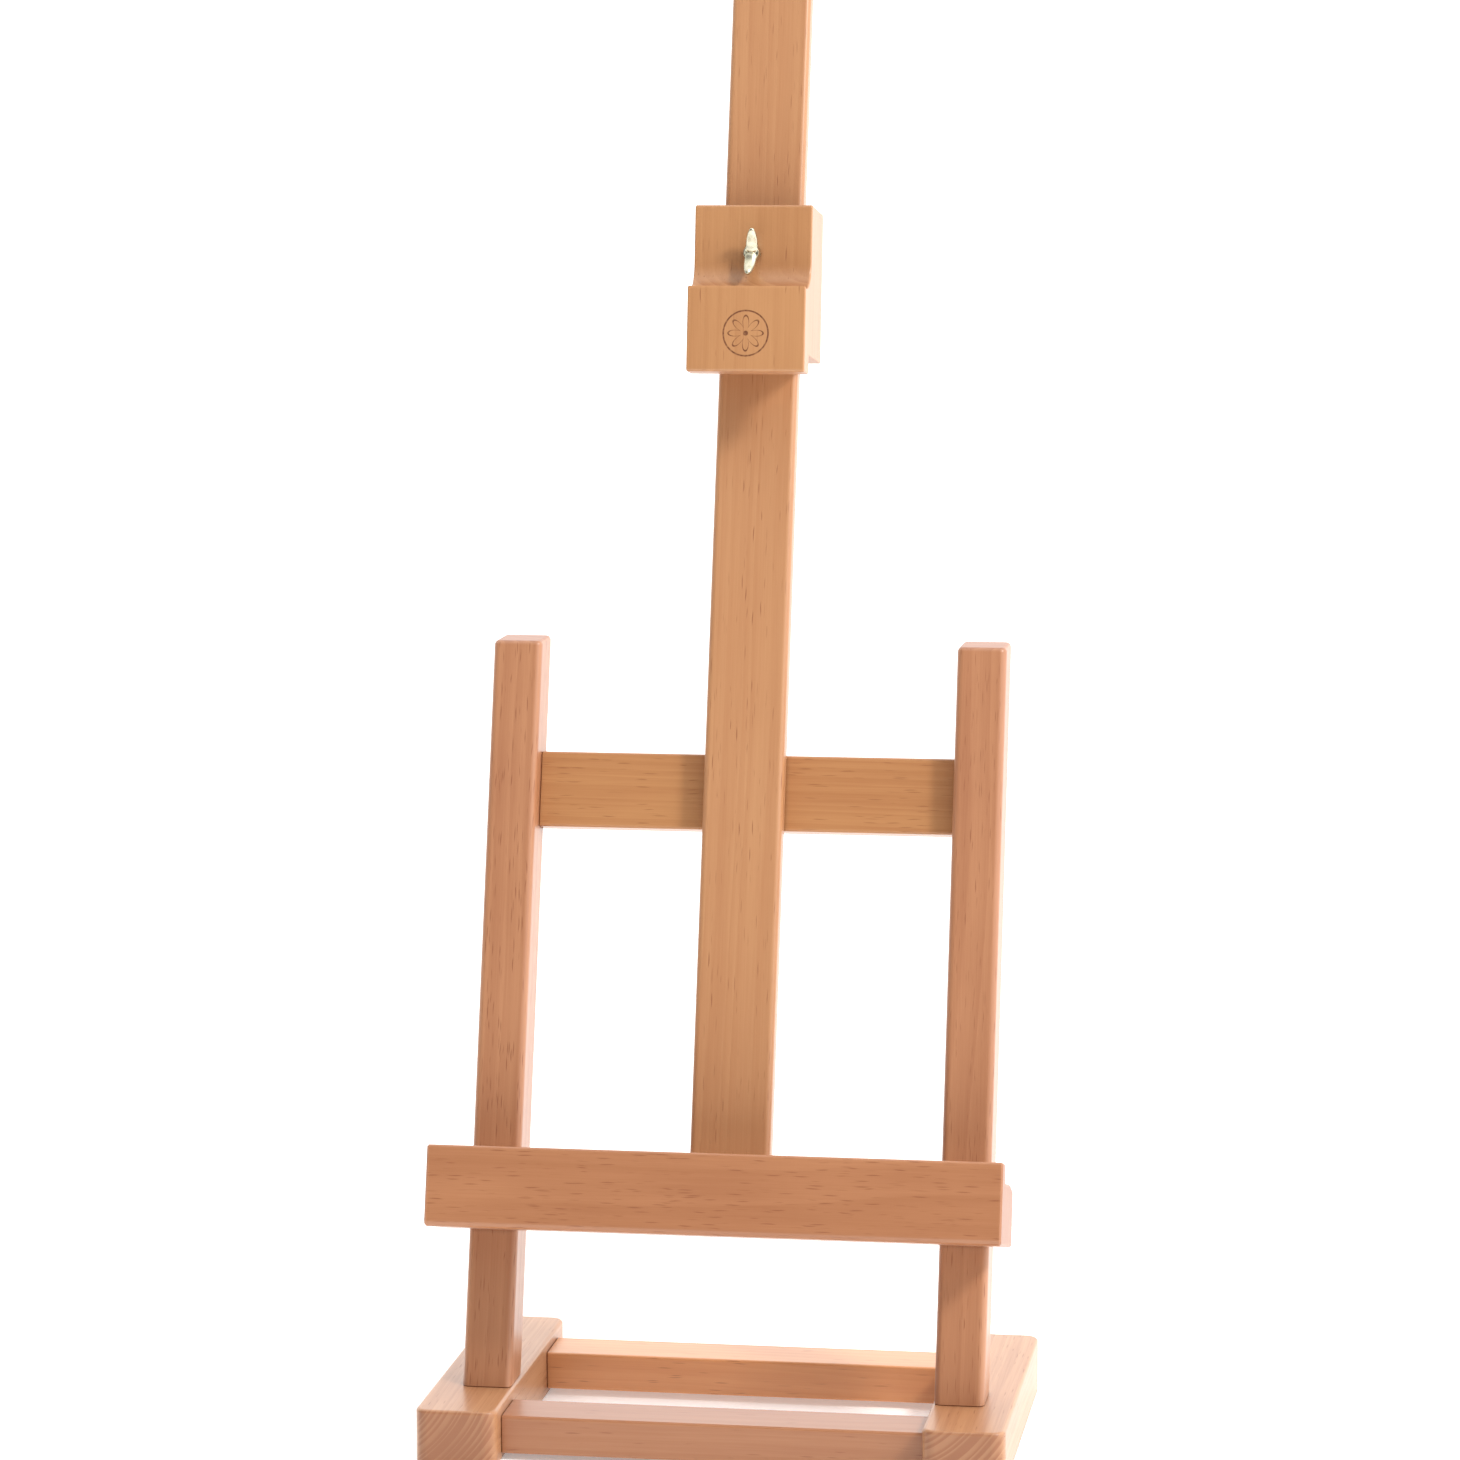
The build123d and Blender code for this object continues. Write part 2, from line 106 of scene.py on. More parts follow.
# ------------------------------------------------------------------ node helpers
class Wiring:
    """Short calls for adding and joining shader nodes in one tree."""

    # A Mix node has a set of sockets for each kind of data; these are the colours' ones
    mix_inputs = (0, 6, 7)
    mix_output = 2

    def __init__(self, tree: bpy.types.NodeTree) -> None:
        """Keep the tree that the calls work on."""
        self.tree = tree

    def node(self, kind: str, **settings: object) -> bpy.types.Node:
        """Add a node and set its properties.

        Args:
            kind: the node's type, without its ShaderNode prefix.
            settings: properties to set on it.

        Returns:
            The new node.
        """
        made = self.tree.nodes.new(f"ShaderNode{kind}")
        for name, value in settings.items():
            setattr(made, name, value)
        return made

    def feed(self, socket: Socket, value: Feed) -> None:
        """Give an input a link or a fixed value."""
        if isinstance(value, bpy.types.NodeSocket):
            self.tree.links.new(value, socket)
        elif isinstance(value, tuple) and socket.type == "RGBA":
            socket.default_value = (*value[:3], 1.0)
        else:
            socket.default_value = value

    def math(self, operation: str, *values: Feed, clamp: bool = False) -> Socket:
        """Add a Math node and return its output."""
        made = self.node("Math", operation=operation, use_clamp=clamp)
        for socket, value in zip(made.inputs, values):
            self.feed(socket, value)
        return made.outputs[0]

    def vector(self, operation: str, *values: Feed, output: str = "Vector") -> Socket:
        """Add a Vector Math node and return the named output."""
        made = self.node("VectorMath", operation=operation)
        for socket, value in zip(made.inputs, values):
            self.feed(socket, value)
        return made.outputs[output]

    def ramp(
        self, value: Feed, low: float, high: float, start: float = 0.0, end: float = 1.0
    ) -> Socket:
        """Map a value smoothly from low..high to start..end.

        Args:
            value: what is mapped.
            low, high: the stretch of it that counts.
            start, end: what that stretch becomes.

        Returns:
            The mapped value's socket.
        """
        made = self.node("MapRange", interpolation_type="SMOOTHSTEP")
        for name, given in (
            ("Value", value),
            ("From Min", low),
            ("From Max", high),
            ("To Min", start),
            ("To Max", end),
        ):
            self.feed(made.inputs[name], given)
        return made.outputs["Result"]

    def mix(self, share: Feed, first: Feed, second: Feed) -> Socket:
        """Mix two colours.

        Args:
            share: how much of the second colour, 0 to 1.
            first, second: the colours.

        Returns:
            The mixed colour's socket.
        """
        made = self.node("Mix", data_type="RGBA", clamp_factor=True)
        for number, given in zip(self.mix_inputs, (share, first, second)):
            self.feed(made.inputs[number], given)
        return made.outputs[self.mix_output]

    def noise(self, vector: Feed, scale: float, detail: float = 2.0, rough: float = 0.5) -> Socket:
        """Add a Noise Texture and return its value, 0 to 1."""
        made = self.node("TexNoise")
        self.feed(made.inputs["Vector"], vector)
        made.inputs["Scale"].default_value = scale
        made.inputs["Detail"].default_value = detail
        made.inputs["Roughness"].default_value = rough
        return made.outputs["Fac"]

    def bump(self, height: Feed, strength: float, depth_mm: float) -> Socket:
        """Add a Bump node and return its normal."""
        made = self.node("Bump")
        made.inputs["Strength"].default_value = strength
        made.inputs["Distance"].default_value = depth_mm * MM
        self.feed(made.inputs["Height"], height)
        return made.outputs["Normal"]


def new_material(name: str) -> tuple[bpy.types.Material, Wiring, bpy.types.Node]:
    """Make an empty material.

    Args:
        name: the material's name.

    Returns:
        The material, its wiring and its Principled shader.
    """
    made = bpy.data.materials.new(name)
    made.use_nodes = True
    return made, Wiring(made.node_tree), made.node_tree.nodes["Principled BSDF"]


def new_group(
    name: str, inputs: dict[str, tuple[str, Feed]], outputs: dict[str, str]
) -> tuple[bpy.types.NodeTree, Wiring, bpy.types.Node, bpy.types.Node]:
    """Make an empty shader node group with named sockets.

    Args:
        name: the group's name.
        inputs: input names, each with its socket type and default.
        outputs: output names, each with its socket type.

    Returns:
        The group's tree, its wiring, its input node and its output node.
    """
    tree = bpy.data.node_groups.new(name, "ShaderNodeTree")
    for label, (kind, default) in inputs.items():
        socket = tree.interface.new_socket(label, in_out="INPUT", socket_type=f"NodeSocket{kind}")
        if default is not None:
            socket.default_value = (*default, 1.0) if kind == "Color" else default
    for label, kind in outputs.items():
        tree.interface.new_socket(label, in_out="OUTPUT", socket_type=f"NodeSocket{kind}")
    source = tree.nodes.new("NodeGroupInput")
    target = tree.nodes.new("NodeGroupOutput")
    return tree, Wiring(tree), source, target


# ------------------------------------------------------------------ shared effects
class SharedGroup:
    """A node group that several finishes share, built when it is first asked for."""

    name: str

    @classmethod
    def tree(cls) -> bpy.types.NodeTree:
        """Return the group, building it on the first call."""
        return bpy.data.node_groups.get(cls.name) or cls._build()


class BeechFigure(SharedGroup):
    """Node group: growth rings, streaks and short dark flecks of planed beech.

    It reads a position in metres with Z along the grain, from the piece's own middle.
    """

    name = "beech_figure"
    # Scales are per metre, and a stretch under 1 draws a pattern out along the grain
    cloud_scale, cloud_stretch = 26.0, 0.35
    streak_scales, streak_stretches = (1500.0, 320.0), (0.022, 0.02)
    fleck_scale, fleck_stretch = 1150.0, 0.075
    # Ring lines wander by this much, in metres, over swells of these scales
    ring_bend = 0.008
    ring_swell = (14.0, 14.0, 4.0)
    # Share of a ring's width where its dark late wood begins to stop
    late_wood_end = 0.88
    # How strongly each effect moves the tone from light to dark
    ring_base, ring_on_end = 0.55, 1.1
    streak_tone, cloud_tone, end_tone = 1.05, 0.9, 0.34

    @classmethod
    def _build(cls) -> bpy.types.NodeTree:
        """Build the group."""
        tree, wire, given, out = new_group(
            cls.name,
            {
                "Vector": ("Vector", None),
                "Seed": ("Vector", (0.0, 0.0, 0.0)),
                "Pith": ("Vector", (0.06, 0.04, 0.0)),
                "End": ("Float", 0.0),
                "Ring Pitch": ("Float", 3.0 * MM),
                "Ring Contrast": ("Float", 0.4),
                "Flecks": ("Float", 0.5),
                "Light": ("Color", (0.6, 0.35, 0.2)),
                "Dark": ("Color", (0.4, 0.2, 0.1)),
                "Fleck Colour": ("Color", (0.2, 0.08, 0.03)),
            },
            {"Colour": "Color", "Roughness": "Float", "Height": "Float"},
        )
        place = given.outputs["Vector"]
        seeded = wire.vector("ADD", place, given.outputs["Seed"])
        ring = cls._rings(wire, given, place, seeded)
        streak = cls._streaks(wire, seeded)
        drawn = wire.vector("MULTIPLY", seeded, (1.0, 1.0, cls.cloud_stretch))
        cloud = wire.noise(drawn, cls.cloud_scale, 2.0)
        fleck = cls._flecks(wire, given, seeded)

        end = given.outputs["End"]
        ring_share = wire.math("MULTIPLY", ring, given.outputs["Ring Contrast"])
        strength = wire.math("MULTIPLY_ADD", end, cls.ring_on_end, cls.ring_base)
        ring_share = wire.math("MULTIPLY", ring_share, strength)
        streak_share = wire.math("MULTIPLY", wire.math("SUBTRACT", streak, 0.5), cls.streak_tone)
        streak_share = wire.math("MULTIPLY", streak_share, wire.math("SUBTRACT", 1.0, end))
        tone = wire.math("ADD", ring_share, streak_share)
        tone = wire.math("ADD", tone, wire.math("MULTIPLY_ADD", cloud, cls.cloud_tone, -0.17))
        tone = wire.math("ADD", tone, wire.math("MULTIPLY", end, cls.end_tone), clamp=True)
        colour = wire.mix(tone, given.outputs["Light"], given.outputs["Dark"])
        colour = wire.mix(fleck, colour, given.outputs["Fleck Colour"])
        wire.feed(out.inputs["Colour"], colour)

        rough = wire.math("MULTIPLY_ADD", streak, 0.10, 0.36)
        rough = wire.math("MULTIPLY_ADD", end, 0.18, rough)
        wire.feed(out.inputs["Roughness"], wire.math("MULTIPLY_ADD", fleck, 0.12, rough))
        height = wire.math("MULTIPLY_ADD", streak, 0.5, wire.math("MULTIPLY", ring, 0.25))
        wire.feed(out.inputs["Height"], wire.math("MULTIPLY_ADD", fleck, -0.55, height))
        return tree

    @classmethod
    def _rings(cls, wire: Wiring, given: bpy.types.Node, place: Socket, seeded: Socket) -> Socket:
        """Return the late wood's share, from the distance to the tree's pith."""
        sway = wire.node("TexNoise")
        wire.feed(sway.inputs["Vector"], wire.vector("MULTIPLY", seeded, cls.ring_swell))
        sway.inputs["Scale"].default_value = 1.0
        sway.inputs["Detail"].default_value = 1.0
        bend = wire.vector("SUBTRACT", sway.outputs["Color"], (0.5, 0.5, 0.5))
        bend = wire.vector("MULTIPLY", bend, (cls.ring_bend, cls.ring_bend, 0.0))
        from_pith = wire.vector("SUBTRACT", wire.vector("ADD", place, bend), given.outputs["Pith"])
        from_pith = wire.vector("MULTIPLY", from_pith, (1.0, 1.0, 0.0))
        reach = wire.vector("LENGTH", from_pith, output="Value")
        count = wire.math("DIVIDE", reach, given.outputs["Ring Pitch"])
        uneven = wire.node("TexNoise", noise_dimensions="1D")
        wire.feed(uneven.inputs["W"], wire.math("MULTIPLY", count, 0.37))
        uneven.inputs["Scale"].default_value = 1.0
        count = wire.math("MULTIPLY_ADD", uneven.outputs["Fac"], 2.4, count)
        part = wire.math("FRACT", count)
        rise = wire.ramp(part, 0.05, cls.late_wood_end)
        fall = wire.ramp(part, cls.late_wood_end, 1.0, 1.0, 0.0)
        return wire.math("MULTIPLY", rise, fall)

    @classmethod
    def _streaks(cls, wire: Wiring, seeded: Socket) -> Socket:
        """Return streaks along the grain, hair-fine and broad together."""
        fine, broad = (
            wire.noise(wire.vector("MULTIPLY", seeded, (1.0, 1.0, stretch)), scale, detail, rough)
            for scale, stretch, detail, rough in zip(
                cls.streak_scales, cls.streak_stretches, (3.0, 2.0), (0.62, 0.5)
            )
        )
        return wire.math("MULTIPLY_ADD", fine, 0.55, wire.math("MULTIPLY", broad, 0.45))

    @classmethod
    def _flecks(cls, wire: Wiring, given: bpy.types.Node, seeded: Socket) -> Socket:
        """Return the short dark flecks, as thin spindles scattered along the grain."""
        wobble = wire.noise(seeded, 90.0, 1.0)
        shift = wire.math("MULTIPLY_ADD", wobble, 0.0012, -0.0006)
        slid = wire.node("CombineXYZ")
        wire.feed(slid.inputs["X"], shift)
        wire.feed(slid.inputs["Y"], shift)
        cell_place = wire.vector("ADD", seeded, slid.outputs["Vector"])
        cells = wire.node("TexVoronoi")
        drawn = wire.vector("MULTIPLY", cell_place, (1.0, 1.0, cls.fleck_stretch))
        wire.feed(cells.inputs["Vector"], drawn)
        cells.inputs["Scale"].default_value = cls.fleck_scale
        dice = wire.node("SeparateColor")
        wire.feed(dice.inputs["Color"], cells.outputs["Color"])
        kept = wire.math("LESS_THAN", dice.outputs["Red"], given.outputs["Flecks"])
        core = wire.ramp(cells.outputs["Distance"], 0.12, 0.42, 1.0, 0.0)
        depth = wire.math("MULTIPLY_ADD", dice.outputs["Green"], 0.42, 0.16)
        long_side = wire.math("SUBTRACT", 1.0, given.outputs["End"])
        shown = wire.math("MULTIPLY", depth, long_side)
        return wire.math("MULTIPLY", wire.math("MULTIPLY", core, kept), shown)


class EdgeWearHighlightAndJointShade(SharedGroup):
    """Node group: edges lightened, partly as rubbed wear and partly as a painted highlight, and
    painted shade that darkens tight joints and hollows by ambient occlusion.
    """

    name = "edge_wear_highlight_and_joint_shade"

    @classmethod
    def _build(cls) -> bpy.types.NodeTree:
        """Build the group."""
        tree, wire, given, out = new_group(
            cls.name,
            {
                "Vector": ("Vector", None),
                "Edge Radius": ("Float", 2.0 * MM),
                "Joint Reach": ("Float", 3.0 * MM),
            },
            {"Edge": "Float", "Joint": "Float"},
        )
        # Edge: rounded arrises found with the Bevel normal, lightened later partly as rubbed wear
        # and partly as a painted highlight
        soft = wire.node("Bevel", samples=4)
        wire.feed(soft.inputs["Radius"], given.outputs["Edge Radius"])
        true_normal = wire.node("NewGeometry").outputs["Normal"]
        agree = wire.vector("DOT_PRODUCT", soft.outputs["Normal"], true_normal, output="Value")
        worn_and_highlit = wire.ramp(agree, 0.90, 0.998, 1.0, 0.0)
        patchy = wire.ramp(wire.noise(given.outputs["Vector"], 120.0, 3.0), 0.30, 0.62, 0.45, 1.0)
        wire.feed(out.inputs["Edge"], wire.math("MULTIPLY", worn_and_highlit, patchy))
        # Joint: painted shade, darkest where ambient occlusion finds tight joints and hollows
        shade = wire.node("AmbientOcclusion", samples=6, only_local=False)
        wire.feed(shade.inputs["Distance"], given.outputs["Joint Reach"])
        wire.feed(out.inputs["Joint"], wire.ramp(shade.outputs["AO"], 0.25, 0.78, 1.0, 0.0))
        return tree


# ------------------------------------------------------------------ measuring
def corners(points: list[Vector]) -> tuple[Vector, Vector]:
    """Return the lowest and the highest corner of some points."""
    low = Vector(min(point[axis] for point in points) for axis in range(3))
    high = Vector(max(point[axis] for point in points) for axis in range(3))
    return low, high


def turned_box(node: str, turn: Matrix) -> tuple[Vector, Vector]:
    """Measure a node's box in a turned frame.

    Args:
        node: the CAD node.
        turn: the rotation from the model's frame into the turned one.

    Returns:
        The lowest and the highest corner there.
    """
    return corners([turn @ vertex.co for vertex in frame["nodes"][node].data.vertices])


def solids(node: str) -> list[list[Vector]]:
    """Split a node that holds several separate solids.

    Args:
        node: the CAD node.

    Returns:
        The points of each solid, in order from left to right, then front to back, then up.
    """
    mesh = frame["nodes"][node].data
    merged: dict[tuple, int] = {}
    index = [
        merged.setdefault(tuple(round(part, 6) for part in vertex.co), len(merged))
        for vertex in mesh.vertices
    ]
    leader = list(range(len(merged)))

    def find(item: int) -> int:
        """Return the leader of an item's set."""
        while leader[item] != item:
            leader[item] = leader[leader[item]]
            item = leader[item]
        return item

    for edge in mesh.edges:
        first, second = (find(index[vertex]) for vertex in edge.vertices)
        leader[first] = second
    sets: dict[int, list[Vector]] = {}
    for key, number in merged.items():
        sets.setdefault(find(number), []).append(Vector(key))
    return sorted(sets.values(), key=lambda points: tuple(round(c, 3) for c in corners(points)[0]))


# ------------------------------------------------------------------ finishes
@dataclass(frozen=True)
class BeechFinish:
    """Planed and thinly oiled beech, cut for one piece."""

    name: str
    grain: Grain
    light: Colour
    dark: Colour
    fleck_colour: Colour = srgb(112, 54, 24)
    pith_mm: tuple[float, float] = (55.0, 38.0)
    ring_pitch_mm: float = 3.2
    ring_contrast: float = 0.40
    flecks: float = 0.35
    seed: float = 0.0
    # Edges lighten partly as rubbed wear and partly as a painted highlight; tight joints darken as
    # painted shade, toward these shares of the late wood's colour
    edge_wear_and_highlight: float = 0.40
    joint_shade_strength: float = 0.70
    joint_shade_shares: tuple[float, float, float] = (0.50, 0.38, 0.30)
    burnt_mark: bool = False

    def material(self, node: str) -> bpy.types.Material:
        """Build the material for one CAD node.

        Args:
            node: the CAD node, whose middle the grain is laid from.

        Returns:
            The material.
        """
        made, wire, shader = new_material(self.name)
        turn = self.grain.euler().to_matrix()
        low, high = turned_box(node, turn)
        middle = (low + high) / 2

        source = wire.node("TexCoord")
        place = wire.node("Mapping", vector_type="POINT")
        wire.feed(place.inputs["Vector"], source.outputs["Object"])
        place.inputs["Rotation"].default_value = self.grain.euler()
        place.inputs["Location"].default_value = -middle
        facing = wire.node("Mapping", vector_type="VECTOR")
        wire.feed(facing.inputs["Vector"], source.outputs["Normal"])
        facing.inputs["Rotation"].default_value = self.grain.euler()
        along = wire.node("SeparateXYZ")
        wire.feed(along.inputs["Vector"], facing.outputs["Vector"])
        end = wire.ramp(wire.math("ABSOLUTE", along.outputs["Z"]), 0.45, 0.93)

        figure = wire.node("Group", node_tree=BeechFigure.tree())
        seed = self.seed
        pith = (self.pith_mm[0] * MM, self.pith_mm[1] * MM, 0.0)
        for name, given in (
            ("Vector", place.outputs["Vector"]),
            ("Seed", (seed * 0.37, seed * 0.53, seed * 0.71)),
            ("Pith", pith),
            ("End", end),
            ("Ring Pitch", self.ring_pitch_mm * MM),
            ("Ring Contrast", self.ring_contrast),
            ("Flecks", self.flecks),
            ("Light", self.light),
            ("Dark", self.dark),
            ("Fleck Colour", self.fleck_colour),
        ):
            wire.feed(figure.inputs[name], given)
        edges_and_joint_shade = wire.node("Group", node_tree=EdgeWearHighlightAndJointShade.tree())
        wire.feed(edges_and_joint_shade.inputs["Vector"], place.outputs["Vector"])

        # Painted highlight, partly rubbed wear, lightens the arrises; painted shade darkens tight
        # joints
        rubbed_and_highlit = tuple(min(1.0, channel * 1.22 + 0.02) for channel in self.light)
        joint_shade_colour = tuple(channel * share for channel, share in zip(self.dark, self.joint_shade_shares))
        edge = wire.math("MULTIPLY", edges_and_joint_shade.outputs["Edge"], self.edge_wear_and_highlight)
        colour = wire.mix(edge, figure.outputs["Colour"], rubbed_and_highlit)
        joint = wire.math("MULTIPLY", edges_and_joint_shade.outputs["Joint"], self.joint_shade_strength)
        colour = wire.mix(joint, colour, joint_shade_colour)
        if self.burnt_mark:
            colour = self._burn_rosette(wire, place, colour, low - middle)
        wire.feed(shader.inputs["Base Color"], colour)
        wire.feed(shader.inputs["Roughness"], figure.outputs["Roughness"])
        shader.inputs["IOR"].default_value = 1.5
        shader.inputs["Coat Weight"].default_value = 0.35
        shader.inputs["Coat Roughness"].default_value = 0.22
        wire.feed(shader.inputs["Normal"], wire.bump(figure.outputs["Height"], 0.35, 0.12))
        return made

    def _burn_rosette(
        self, wire: Wiring, place: bpy.types.Node, colour: Socket, low: Vector
    ) -> Socket:
        """Burn a plain eight-petalled rosette into the nose's front face.

        Args:
            wire: the material's wiring.
            place: the node that gives the position in the piece.
            colour: the colour so far.
            low: the block's lowest corner from its middle; its Y is the nose's front face.

        Returns:
            The colour's socket with the burnt rosette.
        """
        petals = 8
        radius = 8.5 * MM
        rise = 17.0 * MM
        burnt_brown = srgb(92, 46, 26)
        spread = wire.node("SeparateXYZ")
        wire.feed(spread.inputs["Vector"], place.outputs["Vector"])
        across = spread.outputs["X"]
        up = wire.math("SUBTRACT", spread.outputs["Z"], low.z + rise)
        squares = (wire.math("MULTIPLY", way, way) for way in (across, up))
        reach = wire.math("SQRT", wire.math("ADD", *squares))
        angle = wire.math("ARCTAN2", up, across)
        wave = wire.math("ABSOLUTE", wire.math("COSINE", wire.math("MULTIPLY", angle, petals / 2)))
        edge = wire.math("MULTIPLY", wire.math("MULTIPLY_ADD", wave, 0.62, 0.30), radius)
        gap = wire.math("SUBTRACT", reach, edge)
        line = wire.ramp(wire.math("ABSOLUTE", gap), 0.22 * MM, 0.55 * MM, 1.0, 0.0)
        rim = wire.math("ABSOLUTE", wire.math("SUBTRACT", reach, 1.18 * radius))
        line = wire.math("MAXIMUM", line, wire.ramp(rim, 0.20 * MM, 0.48 * MM, 1.0, 0.0))
        heart = wire.ramp(reach, 0.9 * MM, 1.3 * MM, 1.0, 0.0)
        line = wire.math("MAXIMUM", line, heart)
        front = wire.ramp(spread.outputs["Y"], low.y + 0.2 * MM, low.y + 0.6 * MM, 1.0, 0.0)
        patchy = wire.ramp(wire.noise(place.outputs["Vector"], 900.0, 2.0), 0.25, 0.6, 0.55, 0.92)
        share = wire.math("MULTIPLY", wire.math("MULTIPLY", line, front), patchy)
        return wire.mix(share, colour, burnt_brown)


@dataclass(frozen=True)
class MetalFinish:
    """Plated or turned metal with fine tooling marks, dull patches, and painted shade that darkens
    its hollows.
    """

    name: str
    colour: Colour
    # The dull colour of random dull patches, and of painted shade in hollows
    dull: Colour
    roughness: float = 0.25
    spread: float = 0.12
    marks_per_m: float = 900.0
    relief_mm: float = 0.02

    def material(self) -> bpy.types.Material:
        """Build the material."""
        made, wire, shader = new_material(self.name)
        place = wire.node("TexCoord").outputs["Object"]
        edges_and_joint_shade = wire.node("Group", node_tree=EdgeWearHighlightAndJointShade.tree())
        wire.feed(edges_and_joint_shade.inputs["Vector"], place)
        edges_and_joint_shade.inputs["Edge Radius"].default_value = 0.5 * MM
        edges_and_joint_shade.inputs["Joint Reach"].default_value = 2.0 * MM
        cloud = wire.noise(place, self.marks_per_m * 0.35, 3.0)
        marks = wire.noise(place, self.marks_per_m, 4.0, 0.6)
        dull = wire.ramp(cloud, 0.35, 0.7)
        # Painted shade: the joint mask darkens hollows toward the dull colour
        share = wire.math("MULTIPLY_ADD", dull, 0.45, edges_and_joint_shade.outputs["Joint"], clamp=True)
        wire.feed(shader.inputs["Base Color"], wire.mix(share, self.colour, self.dull))
        rough = wire.math("MULTIPLY_ADD", marks, self.spread, self.roughness - self.spread / 2)
        rough = wire.math("MULTIPLY_ADD", edges_and_joint_shade.outputs["Joint"], 0.2, rough)
        wire.feed(shader.inputs["Roughness"], rough)
        shader.inputs["Metallic"].default_value = 1.0
        wire.feed(shader.inputs["Normal"], wire.bump(marks, 0.4, self.relief_mm))
        return made


@dataclass(frozen=True)
class NylonFinish:
    """Moulded nylon, slightly cloudy, with a dusting of wood oil and painted shade in its hollows.
    """

    name: str
    colour: Colour
    stain_and_shade: Colour

    def material(self) -> bpy.types.Material:
        """Build the material."""
        made, wire, shader = new_material(self.name)
        place = wire.node("TexCoord").outputs["Object"]
        edges_and_joint_shade = wire.node("Group", node_tree=EdgeWearHighlightAndJointShade.tree())
        wire.feed(edges_and_joint_shade.inputs["Vector"], place)
        cloud = wire.noise(place, 700.0, 3.0)
        # Painted shade from the joint mask, mixed toward the stain colour together with the oil
        # dusting
        painted_joint_shade = wire.math("MULTIPLY", edges_and_joint_shade.outputs["Joint"], 0.5)
        share = wire.math("MULTIPLY_ADD", cloud, 0.3, painted_joint_shade)
        wire.feed(shader.inputs["Base Color"], wire.mix(share, self.colour, self.stain_and_shade))
        wire.feed(shader.inputs["Roughness"], wire.math("MULTIPLY_ADD", cloud, 0.15, 0.42))
        wire.feed(shader.inputs["Normal"], wire.bump(cloud, 0.2, 0.03))
        return made


# ------------------------------------------------------------------ modelling helpers
def clear_selection() -> None:
    """Deselect every object."""
    bpy.ops.object.select_all(action="DESELECT")


def take(piece: bpy.types.Object) -> bpy.types.Object:
    """Select one object alone, make it active and return it."""
    clear_selection()
    piece.select_set(True)
    bpy.context.view_layer.objects.active = piece
    return piece


def fresh(name: str, add: Callable[..., object], **settings: object) -> bpy.types.Object:
    """Add a primitive with everything else deselected, and apply its place to its mesh.

    Args:
        name: the new object's name.
        add: the operator that adds it.
        settings: the operator's settings.

    Returns:
        The new object.
    """
    clear_selection()
    add(**settings)
    piece = bpy.context.active_object
    piece.name = name
    piece.data.name = name
    bpy.ops.object.transform_apply(location=True, rotation=True, scale=True)
    return piece


def pick_faces(piece: bpy.types.Object, wanted: Callable[[bpy.types.MeshPolygon], bool]) -> None:
    """Enter edit mode with only the wanted faces selected.

    Args:
        piece: the mesh object.
        wanted: tells whether a face is selected, from its centre and normal.
    """
    take(piece)
    bpy.ops.object.mode_set(mode="EDIT")
    bpy.ops.mesh.select_mode(type="FACE")
    bpy.ops.mesh.select_all(action="DESELECT")
    bpy.ops.object.mode_set(mode="OBJECT")
    for face in piece.data.polygons:
        face.select = wanted(face)
    bpy.ops.object.mode_set(mode="EDIT")


def edit_all(piece: bpy.types.Object) -> None:
    """Enter edit mode with the whole mesh selected."""
    take(piece)
    bpy.ops.object.mode_set(mode="EDIT")
    bpy.ops.mesh.select_all(action="SELECT")


def leave_edit() -> None:
    """Go back to object mode."""
    bpy.ops.object.mode_set(mode="OBJECT")


def finish_modifier(piece: bpy.types.Object, kind: str, **settings: object) -> None:
    """Add a modifier, set it up and apply it.

    Args:
        piece: the object that gets it.
        kind: the modifier's type.
        settings: the modifier's properties.
    """
    take(piece)
    modifier = piece.modifiers.new(kind.title(), kind)
    for name, value in settings.items():
        setattr(modifier, name, value)
    bpy.ops.object.modifier_apply(modifier=modifier.name)


def join(pieces: list[bpy.types.Object], name: str) -> bpy.types.Object:
    """Join objects into the first one and rename it.

    Args:
        pieces: the objects.
        name: the joined object's name.

    Returns:
        The joined object.
    """
    clear_selection()
    for piece in pieces:
        piece.select_set(True)
    bpy.context.view_layer.objects.active = pieces[0]
    bpy.ops.object.join()
    pieces[0].name = name
    pieces[0].data.name = name
    return pieces[0]


def settle(piece: bpy.types.Object, place: Matrix) -> None:
    """Move a finished piece to its place, with the place in its mesh."""
    take(piece)
    piece.matrix_world = place
    bpy.ops.object.transform_apply(location=True, rotation=True, scale=True)


def face_outwards(piece: bpy.types.Object) -> None:
    """Merge doubled points and turn every face outwards."""
    edit_all(piece)
    bpy.ops.mesh.remove_doubles(threshold=0.002 * MM)
    bpy.ops.mesh.normals_make_consistent(inside=False)
    leave_edit()


def smooth(piece: bpy.types.Object, angle: float = 40.0) -> None:
    """Shade a piece smooth up to an angle, in degrees."""
    take(piece)
    bpy.ops.object.shade_smooth_by_angle(angle=radians(angle))


def copy_of(piece: bpy.types.Object, name: str) -> bpy.types.Object:
    """Copy an object with a mesh of its own."""
    made = piece.copy()
    made.data = piece.data.copy()
    made.name = name
    bpy.context.scene.collection.objects.link(made)
    return made


def dress(piece: bpy.types.Object, material: bpy.types.Material) -> None:
    """Give a piece its only material."""
    if not piece.material_slots:
        piece.data.materials.append(material)
    for slot in piece.material_slots:
        slot.material = material


def axis_place(origin: Vector, axis: Vector, spin: float = 0.0) -> Matrix:
    """Make the matrix that stands a piece's Z along an axis.

    Args:
        origin: where the piece's own origin goes.
        axis: the direction of its Z.
        spin: a turn about its own Z first, in radians.

    Returns:
        The matrix.
    """
    turn = axis.to_track_quat("Z", "Y").to_matrix().to_4x4()
    return Matrix.Translation(origin) @ turn @ Matrix.Rotation(spin, 4, "Z")


